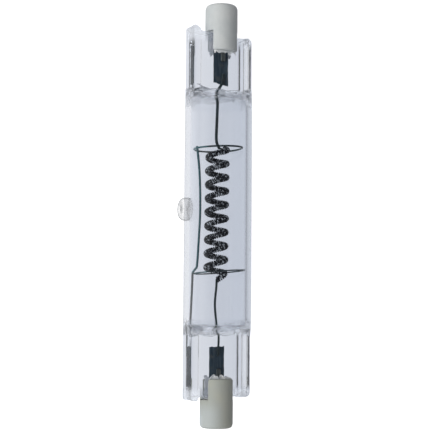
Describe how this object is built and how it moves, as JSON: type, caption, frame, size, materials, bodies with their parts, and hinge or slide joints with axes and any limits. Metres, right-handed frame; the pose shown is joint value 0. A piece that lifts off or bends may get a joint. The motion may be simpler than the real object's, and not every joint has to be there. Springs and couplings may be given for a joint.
{
  "type": "projection lamp bulb",
  "caption": "Double-ended halogen lamp: clear quartz tube pinched flat at both ends, white ceramic caps with recessed contacts, coiled filament on ring supports, exhaust tip at the side.",
  "frame": {"origin": "on the lamp's axis at mid-length, which is also its centre of mass", "axes": "+Y along the lamp towards the end that is up in the picture, +Z out of the front face of the pinch seals; the lamp lies on its back along Y, with the exhaust tip at the -X side"},
  "size_m": [0.0138, 0.0782, 0.0124],
  "materials": {
    "quartz_glass": "clear, fire-polished",
    "white_ceramic": "fired, unglazed, matt",
    "cap_cement": "rough white cement",
    "nickel_contact": "nickel, satin",
    "molybdenum_foil": "dark metal foil under glass",
    "molybdenum_wire": "dull grey metal wire",
    "tungsten_wire": "dark grey drawn wire",
    "tungsten_coil": "dark grey coiled wire"
  },
  "bodies": {
    "root": {"quartz_envelope": "quartz_glass", "upper_ceramic_cap": "white_ceramic", "lower_ceramic_cap": "white_ceramic", "upper_cap_cement": "cap_cement", "lower_cap_cement": "cap_cement", "upper_contact": "nickel_contact", "lower_contact": "nickel_contact", "upper_foil": "molybdenum_foil", "lower_foil": "molybdenum_foil", "upper_outer_lead": "molybdenum_wire", "lower_outer_lead": "molybdenum_wire", "upper_inner_lead": "tungsten_wire", "lower_inner_lead": "tungsten_wire", "filament_coil": "tungsten_coil", "upper_support_ring": "tungsten_wire", "lower_support_ring": "tungsten_wire", "support_wire": "tungsten_wire"}
  },
  "joints": []
}
